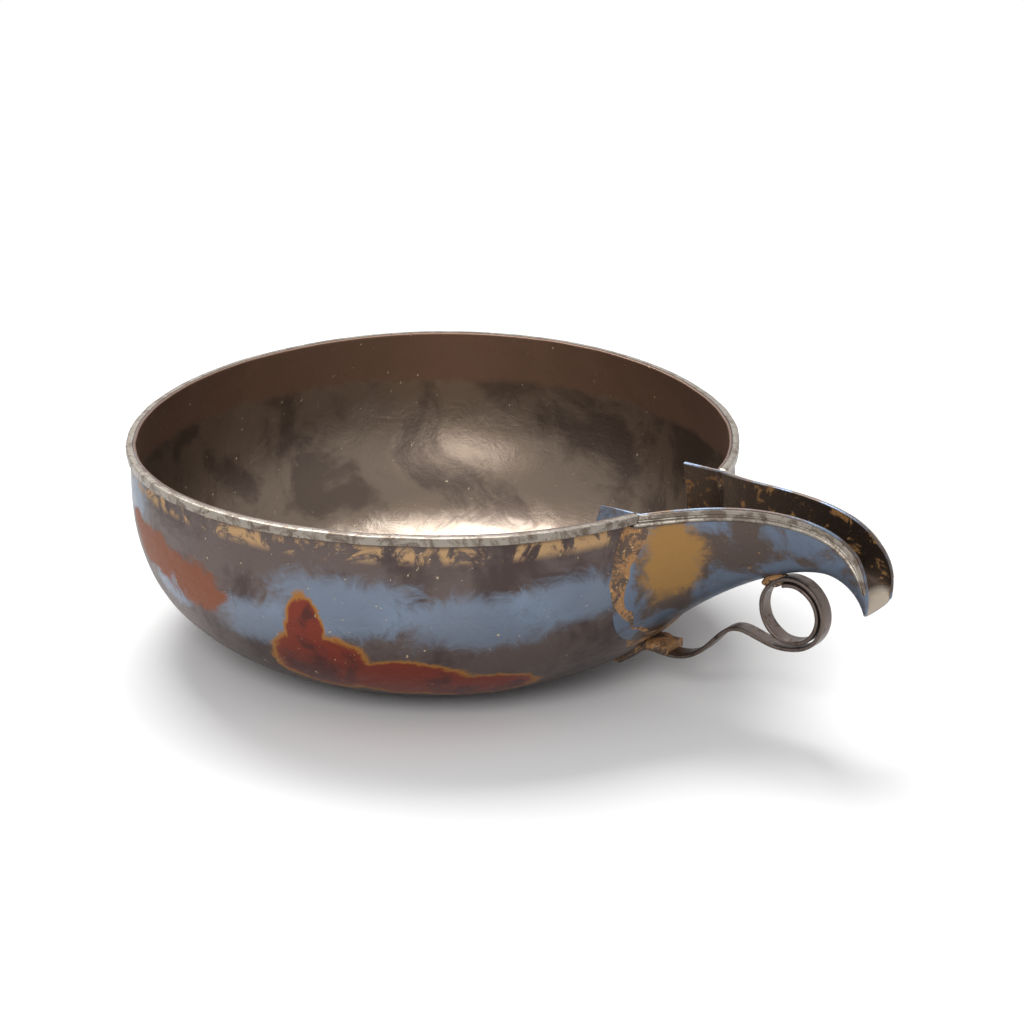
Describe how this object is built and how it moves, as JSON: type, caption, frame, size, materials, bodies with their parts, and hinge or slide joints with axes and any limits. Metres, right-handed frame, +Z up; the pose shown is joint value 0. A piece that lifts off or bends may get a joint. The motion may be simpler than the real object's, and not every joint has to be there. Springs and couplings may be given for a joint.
{
  "type": "pouring vessel",
  "caption": "Shallow round silver bowl with a beaded rim, an open down-curved pouring spout and a rolled ribbon handle curled under the spout.",
  "frame": {"origin": "centre of the flat resting face under the bowl", "axes": "+X towards the spout, +Y to the left seen from behind the bowl looking along the spout, +Z up"},
  "size_m": [0.2559, 0.1906, 0.0709],
  "materials": {
    "bowl_silver": "hammered silver, bright on the floor inside, brown tarnish and crust outside",
    "rim_silver": "drawn silver wire, worn bright on top, brown crust in the groove",
    "spout_silver": "dark tarnished silver sheet with tan and golden crust",
    "handle_silver": "forged silver ribbon, brown-grey, soft highlights",
    "solder": "dull grey solder with brown crust"
  },
  "bodies": {
    "root": {"bowl_shell": "bowl_silver", "bowl_rim_wire": "rim_silver", "spout_trough": "spout_silver", "spout_rim_wire_right": "rim_silver", "spout_rim_wire_left": "rim_silver", "spout_seam_solder": "solder", "handle_strap": "handle_silver", "handle_root_solder": "solder", "handle_coil_solder": "solder"}
  },
  "joints": []
}
